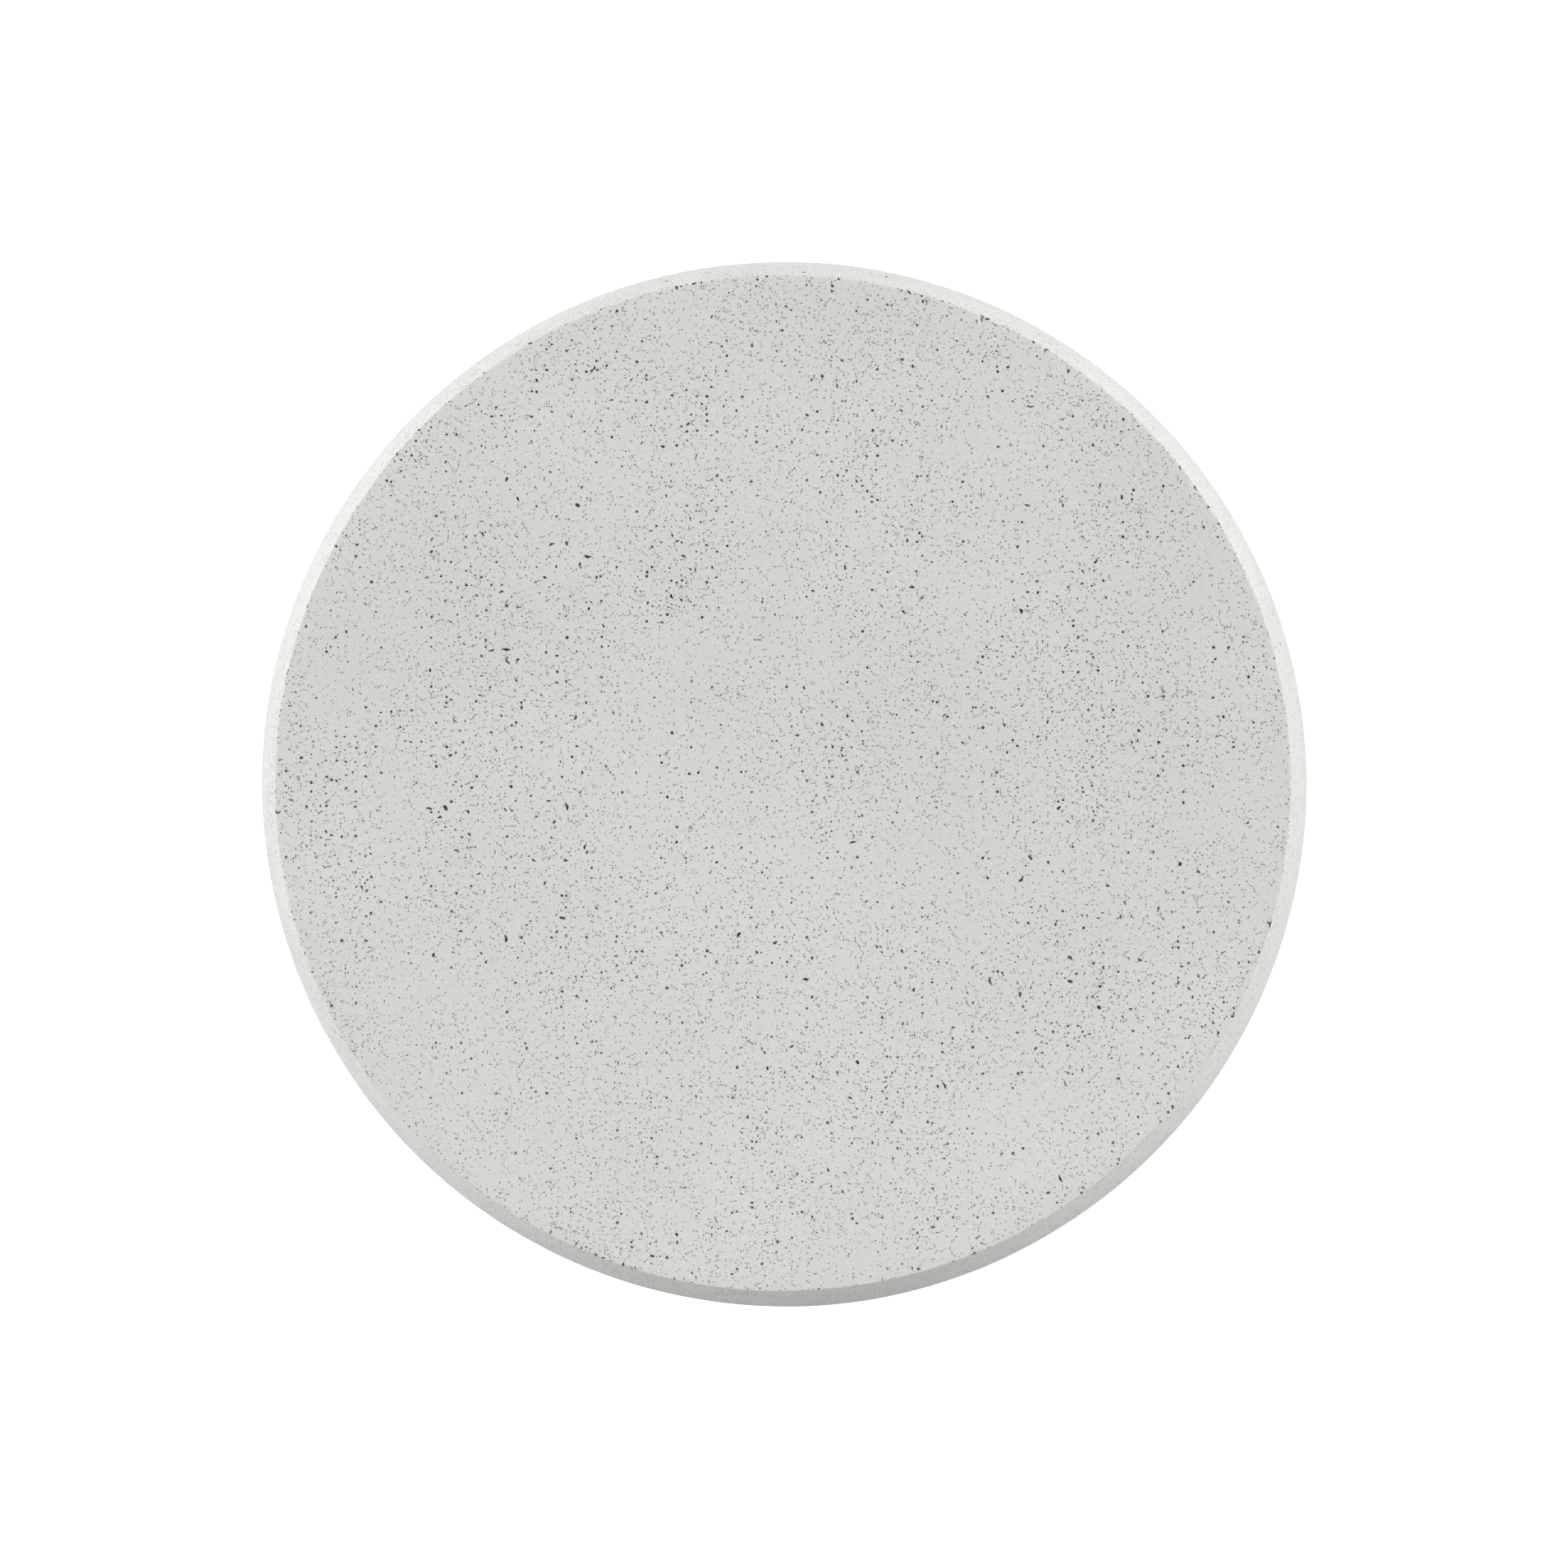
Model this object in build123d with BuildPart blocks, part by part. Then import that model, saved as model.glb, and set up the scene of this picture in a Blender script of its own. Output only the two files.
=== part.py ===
"""Drum-shaped stone lantern: three stacked cast stones around a candle lamp on a brass tray.

Millimetres, +Z up, origin on the ground under the middle of the lantern, front arch towards -Y.
From the ground up: base stone, chamber stone with four arches, flat-topped cap stone. The stones
stand on one another on rubber washers, located by steel dowels, and lift off. The tray with the
candle and its glass slides out through the front arch.
"""

import os
from math import cos, radians, sin, sqrt

from build123d import *

# Drum: a barrel whose side is one arc of a circle from the ground edge to the top edge
belly_radius = 225.0  # widest, at half the stones' height
swell = 22.0  # how much narrower the drum is at its ground edge and its top edge
base_height = 76.0
chamber_height = 202.0
cap_height = 130.0

# Seams and edges
pad_proud = 4.0  # the foot pads hold the base stone off the ground
washer_thickness = 4.0  # the gap at each seam
arris = 2.5  # rounding of the seam edges and the ground edge
top_arris = 1.2  # the top edge is ground almost sharp

# Cap
cap_wall = 38.0  # from the recess to the top edge
cap_slab = 50.0  # stone over the recess
recess_round = 14.0

# Chamber
chamber_wall = 47.0  # at the belly
arch_count = 4
arch_width = 132.0
lintel = 42.0  # stone over the crown of an arch

# Dowels and washers, one set in each leg between the arches
dowel_diameter = 10.0
dowel_length = 60.0
socket_clearance = 1.0  # radial, around the free half of a dowel
socket_spare = 4.0  # the socket is deeper than the dowel stands
dowel_lead = 1.0  # chamfer on the free end
washer_diameter = 30.0
washer_clearance = 0.5  # radial, around the dowel

# Foot pads, three so that the lantern never rocks
pad_count = 3
pad_diameter = 36.0
pad_thickness = 8.0
pad_from_edge = 34.0  # pad circle inside the ground edge
pad_chamfer = 1.0
pocket_clearance = 0.5

# Drain through the base stone, also the way in for an anchor rod
drain_bore = 16.0
sleeve_wall = 3.0
flange_diameter = 36.0
flange_thickness = 3.0
strainer_diameter = 27.0
strainer_thickness = 1.5
strainer_clearance = 0.3
strainer_hole = 2.5
inner_ring_radius = 4.0
inner_ring_holes = 4
outer_ring_radius = 8.5
outer_ring_holes = 8

# Tray
tray_clearance = 6.0  # each side, where the tray passes through an arch
foot_count = 3
foot_height = 5.0
foot_diameter = 10.0
foot_ring = 36.0
foot_chamfer = 0.8
tenon_diameter = 3.0
tenon_head = 5.0
head_height = 1.0
sheet = 1.5
pan_depth = 16.0
pan_corner = 3.0
bead_diameter = 4.0  # the pan's rolled rim

# Finger loop, a bent strap riveted to the front of the pan
loop_outer = 24.0
loop_width = 8.0
loop_thickness = 2.5
loop_lift = 2.5  # gap under the loop
plate_height = 8.0
plate_from_floor = 4.0
plate_half_angle = 13.0
rivet_half_angle = 9.0
rivet_diameter = 2.0
rivet_head = 4.0

# Gallery, the ring that holds the foot of the glass
gallery_inset = 9.0  # inside the pan's outer wall
gallery_sheet = 1.2
gallery_height = 10.0
gallery_flange_width = 5.0
gallery_rivet_count = 3

# Glass
glass_clearance = 0.8
glass_wall = 3.5
glass_round = 1.2
glass_head_room = 10.0  # over the glass where it passes under the arch

# Candle
candle_diameter = 58.0
candle_height = 88.0
candle_round = 3.0
dish_radius = 11.0  # melted hollow around the wick
dish_depth = 3.0
wick_diameter = 1.8
wick_proud = 9.0  # above the bottom of the hollow
wick_buried = 45.0

# Spike, held through the pan's floor by a nut
spike_flange = 18.0
spike_flange_thickness = 1.5
spike_foot = 6.0
spike_tip = 0.8
spike_height = 28.0
spike_clearance = 0.4
stem_diameter = 4.8
stem_proud = 0.6  # thread below the nut
nut_across = 8.0  # across the flats
nut_thickness = 2.6

# Heights, from the ground up
base_bottom = pad_proud
base_top = base_bottom + base_height
chamber_bottom = base_top + washer_thickness
chamber_top = chamber_bottom + chamber_height
cap_bottom = chamber_top + washer_thickness
cap_top = cap_bottom + cap_height
springing = chamber_top - lintel - arch_width / 2  # where an arch's round head begins
pan_bottom = base_top + foot_height
pan_floor = pan_bottom + sheet
pan_rim = pan_bottom + pan_depth
plate_bottom = pan_bottom + plate_from_floor
candle_bottom = pan_floor + spike_flange_thickness
candle_top = candle_bottom + candle_height

# The barrel's arc
drum_middle = (base_bottom + cap_top) / 2
drum_half = (cap_top - base_bottom) / 2
side_radius = (drum_half**2 + swell**2) / (2 * swell)
edge_radius = belly_radius - swell


def side(height):
    """Radius of the drum at this height."""
    return belly_radius - side_radius + sqrt(side_radius**2 - (height - drum_middle) ** 2)


# Radii that fit one another
bore_radius = belly_radius - chamber_wall
recess_radius = edge_radius - cap_wall
dowel_circle = (bore_radius + side(chamber_bottom)) / 2
pad_circle = edge_radius - pad_from_edge
pan_radius = arch_width / 2 - tray_clearance - bead_diameter / 2
plate_radius = pan_radius + loop_thickness
gallery_radius = pan_radius - gallery_inset
gallery_rivet_circle = gallery_radius + gallery_flange_width / 2
glass_radius = gallery_radius - gallery_sheet - glass_clearance
glass_top = springing + sqrt((arch_width / 2) ** 2 - glass_radius**2) - glass_head_room

# Where repeated pieces stand
legs = PolarLocations(dowel_circle, arch_count, start_angle=180 / arch_count)
pads = PolarLocations(pad_circle, pad_count, start_angle=90)
feet = PolarLocations(foot_ring, foot_count, start_angle=90)
gallery_rivet_places = PolarLocations(gallery_rivet_circle, gallery_rivet_count, start_angle=30)
loop_rivet_angles = (-rivet_half_angle, rivet_half_angle)


def finish(piece, name):
    """Name a finished piece and write it."""
    piece.part.label = name
    export_step(piece.part, f"parts/{name}.step")


def drum(low, high, top_round):
    """The solid drum between two heights, its outer edges rounded."""
    middle = (low + high) / 2
    with BuildPart() as block:
        with BuildSketch(Plane.XZ):
            with BuildLine():
                Line((0, low), (side(low), low))
                ThreePointArc((side(low), low), (side(middle), middle), (side(high), high))
                Line((side(high), high), (0, high))
                Line((0, high), (0, low))
            make_face()
        revolve(axis=Axis.Z)
        fillet(block.edges().filter_by(GeomType.CIRCLE).group_by(Axis.Z)[-1], top_round)
        fillet(block.edges().filter_by(GeomType.CIRCLE).group_by(Axis.Z)[0], arris)
    return block.part


def discs(places, diameter, low, high):
    """Equal upright rods at a set of places."""
    with BuildPart() as pieces:
        with BuildSketch(Plane.XY.offset(low)):
            with places:
                Circle(diameter / 2)
        extrude(amount=high - low)
    return pieces.part


def ring(outer, low, high, inner=0.0):
    """A plain ring, or a disc where there is no inner radius, about the lantern's axis."""
    with BuildPart() as hoop:
        with BuildSketch(Plane.XY.offset(low)):
            Circle(outer)
            if inner:
                Circle(inner, mode=Mode.SUBTRACT)
        extrude(amount=high - low)
    return hoop.part


def arch_cutters():
    """The arches, from the chamber's lower face up, right through its wall."""
    with BuildPart() as arch:
        with BuildSketch(Plane.XZ.offset(bore_radius / 2)):
            with Locations((0, (chamber_bottom + springing) / 2)):
                Rectangle(arch_width, springing - chamber_bottom)
            with Locations((0, springing)):
                Circle(arch_width / 2)
        extrude(amount=belly_radius)
    with BuildPart() as arches:
        with PolarLocations(0, arch_count):
            add(arch.part)
    return arches.part


def dowel_sockets(seam):
    """Clearance holes for the free halves of the dowels, in the stone above a seam."""
    depth = dowel_length / 2 - washer_thickness + socket_spare
    diameter = dowel_diameter + 2 * socket_clearance
    above = seam + washer_thickness
    return discs(legs, diameter, above, above + depth)


def bonded_holes(seam):
    """Close holes for the fixed halves of the dowels, in the stone below a seam."""
    return discs(legs, dowel_diameter, seam - dowel_length / 2, seam)


def make_base():
    block = drum(base_bottom, base_top, arris)
    pockets = discs(pads, pad_diameter + 2 * pocket_clearance, base_bottom, pad_thickness)
    holes = bonded_holes(base_top)
    with BuildPart() as base_stone:
        add(block)
        add([pockets, holes], mode=Mode.SUBTRACT)
        sleeve_radius = drain_bore / 2 + sleeve_wall
        with Locations((0, 0, base_top)):
            CounterBoreHole(sleeve_radius, flange_diameter / 2, flange_thickness, base_height)
    finish(base_stone, "base_stone")


def make_foot_pads():
    blanks = discs(pads, pad_diameter, 0, pad_thickness)
    with BuildPart() as foot_pads:
        add(blanks)
        chamfer(foot_pads.edges().group_by(Axis.Z)[0], pad_chamfer)
    finish(foot_pads, "foot_pads")


def make_chamber():
    block = drum(chamber_bottom, chamber_top, arris)
    bore = ring(bore_radius, chamber_bottom, chamber_top)
    arches = arch_cutters()
    holes = bonded_holes(chamber_top)
    sockets = dowel_sockets(base_top)
    with BuildPart() as chamber_stone:
        add(block)
        add([bore, arches, holes, sockets], mode=Mode.SUBTRACT)
    finish(chamber_stone, "chamber_stone")


def make_cap():
    block = drum(cap_bottom, cap_top, top_arris)
    sockets = dowel_sockets(chamber_top)
    with BuildPart() as recess:
        with BuildSketch(Plane.XY.offset(cap_bottom)):
            Circle(recess_radius)
        extrude(amount=cap_height - cap_slab)
        fillet(recess.edges().group_by(Axis.Z)[-1], recess_round)
    with BuildPart() as cap_stone:
        add(block)
        add([recess.part, sockets], mode=Mode.SUBTRACT)
    finish(cap_stone, "cap_stone")


def make_dowels(seam, name):
    """Dowels bonded into the stone below a seam."""
    pins = discs(legs, dowel_diameter, seam - dowel_length / 2, seam + dowel_length / 2)
    with BuildPart() as dowels:
        add(pins)
        chamfer(dowels.edges().group_by(Axis.Z)[-1], dowel_lead)
    finish(dowels, name)


def make_washers(seam, name):
    """Rubber washers around the dowels, which carry the stone above a seam."""
    hole = dowel_diameter + 2 * washer_clearance
    with BuildPart() as washers:
        with BuildSketch(Plane.XY.offset(seam)):
            with legs:
                Circle(washer_diameter / 2)
                Circle(hole / 2, mode=Mode.SUBTRACT)
        extrude(amount=washer_thickness)
    finish(washers, name)


def make_drain_sleeve():
    seat_radius = strainer_diameter / 2 + strainer_clearance
    tube = ring(drain_bore / 2 + sleeve_wall, base_bottom, base_top, drain_bore / 2)
    flange = ring(flange_diameter / 2, base_top - flange_thickness, base_top, drain_bore / 2)
    seat = ring(seat_radius, base_top - strainer_thickness, base_top)
    with BuildPart() as drain_sleeve:
        add([tube, flange])
        add(seat, mode=Mode.SUBTRACT)
    finish(drain_sleeve, "drain_sleeve")


def make_drain_strainer():
    with BuildPart() as drain_strainer:
        with BuildSketch(Plane.XY.offset(base_top - strainer_thickness)):
            Circle(strainer_diameter / 2)
            Circle(strainer_hole / 2, mode=Mode.SUBTRACT)
            with PolarLocations(inner_ring_radius, inner_ring_holes):
                Circle(strainer_hole / 2, mode=Mode.SUBTRACT)
            with PolarLocations(outer_ring_radius, outer_ring_holes):
                Circle(strainer_hole / 2, mode=Mode.SUBTRACT)
        extrude(amount=strainer_thickness)
    finish(drain_strainer, "drain_strainer")


def make_tray_pan():
    """A spun pan with a rolled rim, pierced for its feet, spike and rivets."""
    tenons = discs(feet, tenon_diameter, pan_bottom, pan_floor)
    rivets = discs(gallery_rivet_places, rivet_diameter, pan_bottom, pan_floor)
    shanks = loop_rivet_shanks()
    with BuildPart() as tray_pan:
        with BuildSketch(Plane.XY.offset(pan_bottom)):
            Circle(pan_radius)
        extrude(amount=pan_depth)
        fillet(tray_pan.edges().group_by(Axis.Z)[0], pan_corner)
        offset(amount=-sheet, openings=tray_pan.faces().sort_by(Axis.Z)[-1])
        with BuildSketch(Plane.XZ):
            with Locations((pan_radius - sheet / 2, pan_rim)):
                Circle(bead_diameter / 2)
        revolve(axis=Axis.Z)
        add([tenons, rivets, shanks], mode=Mode.SUBTRACT)
        with Locations((0, 0, pan_floor)):
            Hole(stem_diameter / 2, sheet)
    finish(tray_pan, "tray_pan")


def make_tray_feet():
    """Turned feet, each with a tenon riveted over inside the pan."""
    studs = discs(feet, foot_diameter, base_top, pan_bottom)
    tenons = discs(feet, tenon_diameter, pan_bottom, pan_floor)
    heads = discs(feet, tenon_head, pan_floor, pan_floor + head_height)
    with BuildPart() as tray_feet:
        add([studs, tenons, heads])
        chamfer(tray_feet.edges().group_by(Axis.Z)[0], foot_chamfer)
    finish(tray_feet, "tray_feet")


def loop_rivet_plane(angle, radius):
    """A plane that faces outwards beside the loop, this far from the lantern's axis."""
    outward = (sin(radians(angle)), -cos(radians(angle)), 0)
    middle = plate_bottom + plate_height / 2
    origin = (radius * outward[0], radius * outward[1], middle)
    return Plane(origin=origin, x_dir=(-outward[1], outward[0], 0), z_dir=outward)


def loop_rivet_rods(diameter, start, length):
    """Round rods on the lines of the loop's rivets, from a radius outwards."""
    with BuildPart() as rods:
        for angle in loop_rivet_angles:
            with BuildSketch(loop_rivet_plane(angle, start)):
                Circle(diameter / 2)
            extrude(amount=length)
    return rods.part


def loop_rivet_shanks():
    """Shanks through the pan's wall and the loop's plate."""
    return loop_rivet_rods(rivet_diameter, pan_radius - sheet, sheet + loop_thickness)


def make_tray_loop():
    """A strap bent into a finger loop, with a curved plate on the pan's wall."""
    shanks = loop_rivet_shanks()
    plate = ring(plate_radius, plate_bottom, plate_bottom + plate_height, pan_radius)
    loop_reach = pan_radius + (loop_thickness + loop_outer) / 2
    loop_height = base_top + loop_lift + loop_outer / 2
    sector_side = 2 * plate_radius * sin(radians(plate_half_angle))
    sector_front = 2 * plate_radius * cos(radians(plate_half_angle))
    with BuildPart() as tray_loop:
        add(plate)
        with BuildSketch(Plane.XY.offset(plate_bottom)):
            Polygon((0, 0), (-sector_side, -sector_front), (sector_side, -sector_front), align=None)
        extrude(amount=plate_height, mode=Mode.INTERSECT)
        with BuildSketch(Plane.YZ.offset(-loop_width / 2)):
            with Locations((-loop_reach, loop_height)):
                Circle(loop_outer / 2)
                Circle(loop_outer / 2 - loop_thickness, mode=Mode.SUBTRACT)
        extrude(amount=loop_width)
        add(shanks, mode=Mode.SUBTRACT)
    finish(tray_loop, "tray_loop")


def make_loop_rivets():
    """Two rivets, their heads seated inside the pan's wall and outside the loop's plate."""
    shanks = loop_rivet_shanks()
    outer_rods = loop_rivet_rods(rivet_head, plate_radius - head_height, 2 * head_height)
    inner_rods = loop_rivet_rods(rivet_head, pan_radius - sheet - head_height, 2 * head_height)
    under_plate = ring(plate_radius, pan_bottom, pan_rim)
    inside_pan = ring(pan_radius - sheet, pan_bottom, pan_rim)
    with BuildPart() as outer_heads:
        add(outer_rods)
        add(under_plate, mode=Mode.SUBTRACT)
    with BuildPart() as inner_heads:
        add(inner_rods)
        add(inside_pan, mode=Mode.INTERSECT)
    with BuildPart() as loop_rivets:
        add([shanks, outer_heads.part, inner_heads.part])
    finish(loop_rivets, "loop_rivets")


def make_glass_gallery():
    """A rolled band around the glass's foot, soldered into a flat ring that is riveted down."""
    wall_inside = gallery_radius - gallery_sheet
    flange_top = pan_floor + gallery_sheet
    band = ring(gallery_radius, pan_floor, pan_floor + gallery_height, wall_inside)
    with BuildPart() as glass_gallery:
        add(band)
    finish(glass_gallery, "glass_gallery")

    flat = ring(gallery_radius + gallery_flange_width, pan_floor, flange_top, gallery_radius)
    holes = discs(gallery_rivet_places, rivet_diameter, pan_floor, flange_top)
    with BuildPart() as gallery_flange:
        add(flat)
        add(holes, mode=Mode.SUBTRACT)
    finish(gallery_flange, "gallery_flange")


def make_gallery_rivets():
    flange_top = pan_floor + gallery_sheet
    places = gallery_rivet_places
    shanks = discs(places, rivet_diameter, pan_bottom, flange_top)
    upper_heads = discs(places, rivet_head, flange_top, flange_top + head_height)
    lower_heads = discs(places, rivet_head, pan_bottom - head_height, pan_bottom)
    with BuildPart() as gallery_rivets:
        add([shanks, upper_heads, lower_heads])
    finish(gallery_rivets, "gallery_rivets")


def make_glass_chimney():
    tube = ring(glass_radius, pan_floor, glass_top, glass_radius - glass_wall)
    with BuildPart() as glass_chimney:
        add(tube)
        fillet(glass_chimney.edges().filter_by(GeomType.CIRCLE), glass_round)
    finish(glass_chimney, "glass_chimney")


def spike_cone(clearance):
    """The spike's taper, drawn larger by a clearance for the hole in the wax."""
    with BuildPart() as cone:
        with BuildSketch(Plane.XY.offset(candle_bottom)):
            Circle(spike_foot / 2 + clearance)
        with BuildSketch(Plane.XY.offset(candle_bottom + spike_height + clearance)):
            Circle(spike_tip / 2 + clearance)
        loft()
    return cone.part


def make_candle_spike():
    taper = spike_cone(0)
    flange = ring(spike_flange / 2, pan_floor, candle_bottom)
    stem = ring(stem_diameter / 2, pan_bottom - nut_thickness - stem_proud, pan_floor)
    with BuildPart() as candle_spike:
        add([flange, stem, taper])
    finish(candle_spike, "candle_spike")


def make_spike_nut():
    with BuildPart() as spike_nut:
        with BuildSketch(Plane.XY.offset(pan_bottom - nut_thickness)):
            RegularPolygon(nut_across / 2, 6, major_radius=False)
            Circle(stem_diameter / 2, mode=Mode.SUBTRACT)
        extrude(amount=nut_thickness)
    finish(spike_nut, "spike_nut")


def make_candle():
    """The wax, pierced by the spike from below, and the wick in its melted hollow."""
    hollow_radius = (dish_radius**2 + dish_depth**2) / (2 * dish_depth)
    hollow_bottom = candle_top - dish_depth
    spike_hole = spike_cone(spike_clearance)
    wick = ring(wick_diameter / 2, hollow_bottom - wick_buried, hollow_bottom + wick_proud)
    with BuildPart() as candle_wax:
        with BuildSketch(Plane.XY.offset(candle_bottom)):
            Circle(candle_diameter / 2)
        extrude(amount=candle_height)
        fillet(candle_wax.edges().filter_by(GeomType.CIRCLE), candle_round)
        with Locations((0, 0, hollow_bottom + hollow_radius)):
            Sphere(hollow_radius, mode=Mode.SUBTRACT)
        add([spike_hole, wick], mode=Mode.SUBTRACT)
    finish(candle_wax, "candle_wax")

    with BuildPart() as candle_wick:
        add(wick)
    finish(candle_wick, "candle_wick")


def main():
    os.makedirs("parts", exist_ok=True)
    make_base()
    make_foot_pads()
    make_chamber()
    make_cap()
    make_dowels(base_top, "chamber_dowels")
    make_washers(base_top, "chamber_washers")
    make_dowels(chamber_top, "cap_dowels")
    make_washers(chamber_top, "cap_washers")
    make_drain_sleeve()
    make_drain_strainer()
    make_tray_pan()
    make_tray_feet()
    make_tray_loop()
    make_loop_rivets()
    make_glass_gallery()
    make_gallery_rivets()
    make_glass_chimney()
    make_candle_spike()
    make_spike_nut()
    make_candle()


main()
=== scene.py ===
"""Drum-shaped stone lantern: its cast stones, its candle lamp, its materials, light and camera."""

import random
from math import atan, atan2, ceil, cos, exp, hypot, pi, radians, sin, sqrt, tan, tau

import bpy
from mathutils import Euler, Matrix, Vector, noise


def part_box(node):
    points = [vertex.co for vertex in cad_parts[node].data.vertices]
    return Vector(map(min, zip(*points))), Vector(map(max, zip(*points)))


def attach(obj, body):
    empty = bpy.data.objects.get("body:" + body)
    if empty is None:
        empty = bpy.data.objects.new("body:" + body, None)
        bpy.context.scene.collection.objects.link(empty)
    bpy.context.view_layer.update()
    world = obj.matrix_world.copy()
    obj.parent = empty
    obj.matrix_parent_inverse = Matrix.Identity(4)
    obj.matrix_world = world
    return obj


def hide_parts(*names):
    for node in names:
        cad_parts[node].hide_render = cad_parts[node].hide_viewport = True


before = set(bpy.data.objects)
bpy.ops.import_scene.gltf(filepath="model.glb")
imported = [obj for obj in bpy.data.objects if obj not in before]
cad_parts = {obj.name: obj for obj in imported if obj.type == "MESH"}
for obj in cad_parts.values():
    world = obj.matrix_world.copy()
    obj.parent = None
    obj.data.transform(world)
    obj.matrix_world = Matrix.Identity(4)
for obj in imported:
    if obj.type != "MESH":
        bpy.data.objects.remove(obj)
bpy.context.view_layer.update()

MM = 0.001

# The barrel, whose side is one arc of a circle
BELLY_RADIUS = 0.225
SWELL = 0.022
ARRIS = 2.5 * MM
TOP_ARRIS = 1.2 * MM

# Stone walls
CHAMBER_WALL = 0.047
CAP_WALL = 0.038
CAP_SLAB = 0.050
RECESS_ROUND = 0.014
ARCH_WIDTH = 0.132
LINTEL = 0.042
SOCKET_RADIUS = 6 * MM
SOCKET_DEPTH = 30 * MM
PAD_FROM_EDGE = 34 * MM

# Casting detail
TURN_STEPS = 288
CHAMBER_VOXEL = 2.5 * MM
SWELL_DEPTH = 0.6 * MM

# Where the larger pits gather on the cap: the bearing in degrees from +X, the distance from the
# axis and the spread of each crowd
PIT_CROWDS = (
    (155, 0.120, 0.050),
    (125, 0.135, 0.035),
    (40, 0.120, 0.045),
    (285, 0.115, 0.045),
    (325, 0.125, 0.040),
    (195, 0.125, 0.035),
)

# Lamp
GLASS_WALL = 3.5 * MM
SHEET = 1.5 * MM
BEAD_RADIUS = 2.0 * MM
PAN_CORNER = 3.0 * MM
STEM_RADIUS = 2.4 * MM
SPIKE_FOOT = 3.4 * MM
SPIKE_TIP = 0.8 * MM
SPIKE_HOLE = 28.4 * MM
DISH_RADIUS = 11 * MM
DISH_DEPTH = 3 * MM


def span(node):
    """Lowest and highest point of a CAD node."""
    low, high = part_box(node)
    return low.z, high.z


base_bottom, base_top = span("base_stone")
chamber_bottom, chamber_top = span("chamber_stone")
cap_bottom, cap_top = span("cap_stone")
glass_bottom, glass_top = span("glass_chimney")
glass_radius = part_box("glass_chimney")[1].x
candle_bottom, candle_top = span("candle_wax")
candle_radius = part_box("candle_wax")[1].x
wick_bottom, wick_top = span("candle_wick")
wick_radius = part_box("candle_wick")[1].x
pan_bottom, pan_top = span("tray_pan")
pan_rim = pan_top - BEAD_RADIUS
pan_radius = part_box("tray_pan")[1].x - BEAD_RADIUS + SHEET / 2

edge_radius = BELLY_RADIUS - SWELL
bore_radius = BELLY_RADIUS - CHAMBER_WALL
recess_radius = edge_radius - CAP_WALL
springing = chamber_top - LINTEL - ARCH_WIDTH / 2
drum_middle = (base_bottom + cap_top) / 2
drum_half = (cap_top - base_bottom) / 2
side_radius = (drum_half**2 + SWELL**2) / (2 * SWELL)


def side(height):
    """Radius of the barrel at this height."""
    return BELLY_RADIUS - side_radius + sqrt(side_radius**2 - (height - drum_middle) ** 2)


# ---------------------------------------------------------------------------------------------
# Modelling


def pick(piece):
    """Makes a piece the only selected and the active object."""
    bpy.ops.object.select_all(action="DESELECT")
    piece.select_set(True)
    bpy.context.view_layer.objects.active = piece


def apply_modifier(piece, kind, **settings):
    """Adds a modifier to a piece and applies it."""
    pick(piece)
    bpy.ops.object.modifier_add(type=kind)
    modifier = piece.modifiers[-1]
    for name, value in settings.items():
        setattr(modifier, name, value)
    bpy.ops.object.modifier_apply(modifier=modifier.name)


def paint(piece, *materials):
    """Gives a piece its materials; its faces start with the first."""
    piece.data.materials.clear()
    for material in materials:
        piece.data.materials.append(material)


def line(start, end, pitch):
    """Points from start up to, but without, end, about this far apart."""
    steps = max(1, ceil(hypot(end[0] - start[0], end[1] - start[1]) / pitch))
    return [
        (start[0] + (end[0] - start[0]) * i / steps, start[1] + (end[1] - start[1]) * i / steps)
        for i in range(steps)
    ]


def corner(before, point, after, radius, steps=4):
    """Points of the round that replaces a corner of an outline."""
    into = (Vector(before) - Vector(point)).normalized()
    out = (Vector(after) - Vector(point)).normalized()
    half = into.angle(out) / 2
    start = Vector(point) + into * radius / tan(half)
    end = Vector(point) + out * radius / tan(half)
    centre = Vector(point) + (into + out).normalized() * radius / sin(half)
    first = atan2(start.y - centre.y, start.x - centre.x)
    turn = (atan2(end.y - centre.y, end.x - centre.x) - first + pi) % tau - pi
    bearings = [first + turn * i / steps for i in range(steps + 1)]
    return [(centre.x + radius * cos(a), centre.y + radius * sin(a)) for a in bearings]


def rounded(points, radii, pitch):
    """An outline through points, each corner with its own round, and its runs divided."""
    outline = []
    for i, radius in enumerate(radii):
        if radius:
            outline.append(corner(points[i - 1], points[i], points[i + 1], radius))
        else:
            outline.append([points[i]])
    path = []
    for here, there in zip(outline, outline[1:]):
        path += here[:-1] + line(here[-1], there[0], pitch)
    return path + outline[-1]


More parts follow.
